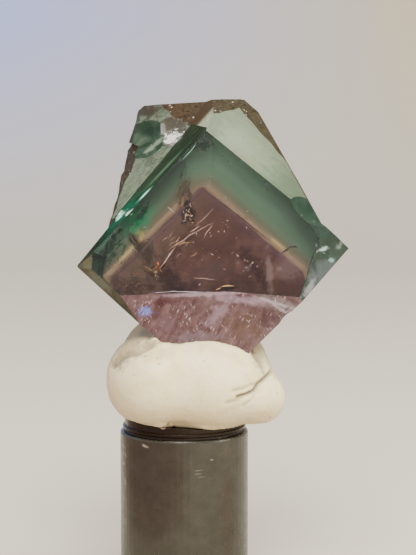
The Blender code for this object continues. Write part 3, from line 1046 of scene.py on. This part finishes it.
# The putty's unevenness: the height in mm, how many swells to a mm, and a shift along x.
PUTTY_SWELLS = [(0.16, 0.22, 0), (0.05, 0.8, 5), (0.012, 3.5, 0)]
PIT_COUNT = 70
PIT_SEED = 7
PIT_RADII = (0.10, 0.26)
PIT_DEPTH = 0.7  # of its radius
# How much dirt and painted shade a pit and a groove lay into the putty's colour.
PIT_DIRT_AND_SHADE = 0.8
GROOVE_DIRT_AND_SHADE = 1.6  # for each mm of its depth
FRONT_FADE = (-0.1, 0.35)  # how far a normal faces forward where grooves begin and where they are full
# More pits, placed one by one: (x, z) in mm on the putty's front.
PLACED_PITS = [
    (-7.65, 28.3), (-7.95, 28.05), (-8.25, 28.7), (-7.2, 28.5), (-8.4, 27.9), (-7.6, 27.8), (-4.5, 29.4),
    (-6.7, 28.7),
]
PLACED_PIT_RADIUS = 0.22
# Greyer, browner and creamier patches: as the crystal's patches, in the frame's mm. The olive and brown ones
# on the lobes behind are partly painted shade, partly the putty's own tone.
PUTTY_PATCHES = [
    ((-5.8, 31.0), (4.4, 2.0), 38, 0.35, 0.8, (158, 142, 106)),
    ((-3.6, 30.8), (1.8, 0.6), 15, 0.4, 0.6, (136, 120, 86)),
    ((-7.8, 28.4), (1.4, 1.0), 40, 0.6, 0.55, (144, 132, 104)),
    ((-2.6, 29.6), (2.6, 0.9), 8, 0.6, 0.55, (212, 190, 142)),
    ((8.9, 29.4), (0.9, 2.0), 18, 0.4, 0.8, (164, 146, 106)),
]


def to_segment(point, start, end):
    """The distance from a point to a segment, in the plane."""
    along = end - start
    share = max(0.0, min(1.0, (point - start).dot(along) / along.length_squared))
    return (point - start - along * share).length


def smooth_step(value, low, high):
    share = max(0.0, min(1.0, (value - low) / (high - low)))
    return share * share * (3 - 2 * share)


def soft_copy(node, name):
    """A node's shape as a fine even mesh with its corners rounded."""
    piece = new_object(name, node.data.copy())
    piece.data.materials.clear()
    weld = piece.modifiers.new("weld", "WELD")
    weld.merge_threshold = SAME_PLACE
    cells = piece.modifiers.new("cells", "REMESH")
    cells.mode = "VOXEL"
    cells.voxel_size = PUTTY_CELL
    soften = piece.modifiers.new("soften", "SMOOTH")
    soften.factor = 0.5
    soften.iterations = PUTTY_SOFTENING
    depsgraph = bpy.context.evaluated_depsgraph_get()
    mesh = bpy.data.meshes.new_from_object(piece.evaluated_get(depsgraph))
    piece.modifiers.clear()
    old = piece.data
    piece.data = mesh
    bpy.data.meshes.remove(old)
    mesh.name = name
    return piece


def groove_depth(x, z):
    flat = Vector((x, z))
    depth = 0.0
    for points, deep, half_width in PUTTY_GROOVES:
        corners = [Vector(point) for point in points]
        away = min(to_segment(flat, *pair) for pair in zip(corners, corners[1:]))
        depth = max(depth, deep * math.exp(-((away / half_width) ** 2)))
    return depth


def finger_ridges(x, z):
    away = math.hypot(x - FINGER_CENTRE[0], z - FINGER_CENTRE[1])
    inner, outer = FINGER_BAND
    band = smooth_step(away, inner, inner + FINGER_FADE)
    band *= 1 - smooth_step(away, outer - FINGER_FADE, outer)
    side = smooth_step(x - FINGER_CENTRE[0], 0.3, 1.5)
    wander = 0.35 * noise.noise(Vector((x, 2.0, z)) * 0.6)
    return FINGER_HEIGHT * band * side * math.sin(2 * math.pi * (away / FINGER_SPACING + wander))


def putty_pits(mesh):
    """Pits as (place, radius) in mm: seeded ones, most of them at the left, and those placed one by one."""
    rng = random.Random(PIT_SEED)
    verts = mesh.vertices
    pits = []
    while len(pits) < PIT_COUNT:
        place = verts[rng.randrange(len(verts))].co / MM
        if rng.random() < 0.25 + 0.75 * smooth_step(-place.x, -2, 8):
            pits.append((place.copy(), rng.uniform(*PIT_RADII)))
    front = [vert.co / MM for vert in verts if vert.normal.y < 0]
    for x, z in PLACED_PITS:
        nearest = min(front, key=lambda place: math.hypot(place.x - x, place.z - z))
        pits.append((nearest, PLACED_PIT_RADIUS))
    return pits


def press_against(co, tree):
    """Pulls a point that lies close to a neighbour onto its surface."""
    near, normal, _, away = tree.find_nearest(co)
    inner, outer = CONTACT_REACH
    if away > outer * MM:
        return co
    pull = 1.0 if (co - near).dot(normal) < 0 else 1 - smooth_step(away / MM, inner, outer)
    return co.lerp(near + normal * CONTACT, pull)


def pits_at(place, pits):
    """How deep the pits are at a place, in mm, and how much dirt and painted shade they get there."""
    depth = 0.0
    dirt_and_shade = 0.0
    for centre, radius in pits:
        away = (place - centre).length / radius
        if away < 2:
            share = math.exp(-away * away * 2)
            depth += PIT_DEPTH * radius * share
            dirt_and_shade += PIT_DIRT_AND_SHADE * share
    return depth, dirt_and_shade


def dent_putty(mesh):
    """Moves the surface along its normals into creases, ridges, swells and pits, and notes their dirt and
    painted shade.
    """
    pits = putty_pits(mesh)
    normals = [vert.normal.copy() for vert in mesh.vertices]
    dirt_and_shade = mesh.attributes.new("dirt_and_shade", "FLOAT", "POINT")
    for index, vert in enumerate(mesh.vertices):
        place = vert.co / MM
        forward = smooth_step(-normals[index].y, *FRONT_FADE)
        groove = groove_depth(place.x, place.z) * forward
        pit, pit_dirt_and_shade = pits_at(place, pits)
        lift = finger_ridges(place.x, place.z) * forward - groove - pit
        for height, frequency, shift in PUTTY_SWELLS:
            lift += height * noise.noise(place * frequency + Vector((shift, 0, 0)))
        vert.co = vert.co + normals[index] * lift * MM
        dirt_and_shade.data[index].value = min(1.0, groove * GROOVE_DIRT_AND_SHADE + pit_dirt_and_shade)


def putty_piece(nodes):
    """The putty's solid softened and dented, and pressed against the stone and the metal."""
    piece = soft_copy(nodes["putty"], "pressed_putty")
    mesh = piece.data
    dent_putty(mesh)
    neighbours = [tree_of(nodes["crystal"]), tree_of(nodes["post"])]
    for vert in mesh.vertices:
        for tree in neighbours:
            vert.co = press_against(vert.co, tree)
    mesh.shade_smooth()
    mesh.materials.append(putty_material())
    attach(piece, "root")
    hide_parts("putty")


def putty_colour(point):
    """Off-white with painted shade: greyer at the left, browner low down (shade and tint) and behind (shade
    and dirt), with dirt and painted shade in its hollows, and flecks.
    """
    axes = axes_of(point)
    broad = noise_at(point, 0.35, detail=4)
    colour = ramp(broad, [(0.35, (240, 222, 166)), (0.5, (251, 235, 184)), (0.65, (254, 241, 196))])
    behind = scaled(axes["Y"], -6.0, -2.5, 0, 0.85)
    layers = [
        (mottle(point, 2.2, 0.52, 0.72, 0.35, detail=5, roughness=0.65), (205, 190, 160)),
        # Painted shade: greyer towards the left.
        (scaled(axes["X"], -3.0, -9.0, 0, 0.70), (196, 180, 148)),
        # Painted shade and a browner tint low down.
        (scaled(axes["Z"], 24.5, 21.0, 0, 0.65), (196, 170, 138)),
        # Painted shade and dirt on the lobes behind.
        (times(behind, scaled(axes["Z"], 25.5, 28.5)), (160, 150, 116)),
    ]
    colour = add_patches(point, layered(colour, layers), PUTTY_PATCHES)
    dirt_and_shade = new_node(point.id_data, "Attribute", attribute_name="dirt_and_shade").outputs["Fac"]
    fleck = add_node("TexVoronoi", {"Vector": point, "Scale": 1.9}).outputs["Distance"]
    thinning = mottle(point, 0.3, 0.44, 0.6, 0.8)
    layers = [
        # Dirt and painted shade in the creases and pits.
        (scaled(dirt_and_shade, 0.05, 0.9, 0, 0.85), (104, 90, 68)),
        (times(scaled(fleck, 0.14, 0.08), thinning), (95, 88, 75)),
    ]
    return layered(colour, layers)


def add_bump(shader, height, strength, distance):
    bump = add_node("Bump", {"Height": height, "Strength": strength, "Distance": distance * MM})
    set_inputs(shader, {"Normal": bump.outputs["Normal"]})


def putty_material():
    mat, tree, shader = new_material("putty")
    point = frame_point_in_mm(tree)
    set_inputs(shader, {"Base Color": putty_colour(point), "Roughness": 0.62})
    add_bump(shader, noise_at(point, 4.5, detail=6, roughness=0.7), 0.25, 0.08)
    return mat


# -------- post

SHOULDER_HEIGHT = 19.0  # mm
# Pale smears and chips, darker stains, and a painted dark reflection band: as the crystal's patches, in the
# frame's mm.
POST_MARKS_AND_REFLECTION = [
    ((-4.65, 18.15), (0.5, 0.2), -20, 0.4, 0.6, (214, 208, 198)),
    ((-7.35, 17.4), (0.22, 0.4), 30, 0.5, 0.3, (176, 172, 160)),
    ((-7.2, 16.4), (0.16, 0.45), 20, 0.6, 0.3, (176, 172, 160)),
    ((-7.45, 15.2), (0.15, 0.3), -20, 0.5, 0.3, (176, 172, 160)),
    ((-7.3, 13.0), (0.14, 0.6), 10, 0.6, 0.3, (176, 172, 160)),
    ((-7.5, 10.6), (0.14, 0.5), 10, 0.6, 0.3, (176, 172, 160)),
    ((3.4, 16.6), (0.3, 0.1), 0, 0.5, 0.45, (180, 176, 164)),
    ((1.9, 15.4), (0.8, 0.06), 2, 0.4, 0.5, (170, 166, 154)),
    ((1.8, 15.0), (0.6, 0.05), 0, 0.4, 0.5, (170, 166, 154)),
    ((2.2, 14.6), (0.5, 0.05), 3, 0.4, 0.4, (170, 166, 154)),
    ((-2.4, 20.5), (0.5, 0.18), -8, 0.6, 0.7, (200, 188, 172)),
    ((5.2, 17.6), (0.8, 1.0), -30, 0.7, 0.5, (96, 90, 78)),
    # A tall darker band down the right side: a painted dark reflection.
    ((5.5, 10.0), (1.2, 7.0), 0, 0.6, 0.35, (78, 66, 52)),
]


def post_material():
    """Dark satin metal: turning marks, smears and stains, a painted dark reflection band, and a darker neck.
    """
    mat, tree, shader = new_material("dark_satin_steel")
    point = frame_point_in_mm(tree)
    dull = mottle(point, 0.5, 0.35, 0.65, detail=5, roughness=0.6)
    colour = blend(dull, (77, 75, 69), (84, 82, 76))
    height = axes_of(point)["Z"]
    neck = scaled(height, SHOULDER_HEIGHT - 0.1, SHOULDER_HEIGHT + 0.15)
    colour = blend(neck, colour, (52, 45, 41))
    colour = add_patches(point, colour, POST_MARKS_AND_REFLECTION)
    rough = scaled(noise_at(point, 1.2, detail=5), 0.3, 0.7, 0.24, 0.36)
    set_inputs(shader, {"Base Color": colour, "Metallic": 1.0, "Roughness": rough})
    turning = noise_at(stretched(point, (0.3, 0.3, 9.0)), 1.0, detail=3)
    add_bump(shader, turning, 0.15, 0.02)
    return mat


def dress_post(node):
    for slot in node.material_slots:
        slot.material = post_material()


def main():
    make_camera()
    make_lights()
    make_floor()
    stone = crystal_piece(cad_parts["crystal"])
    core_piece()
    inclusions_and_glints_piece(stone)
    putty_piece(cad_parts)
    dress_post(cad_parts["post"])


main()
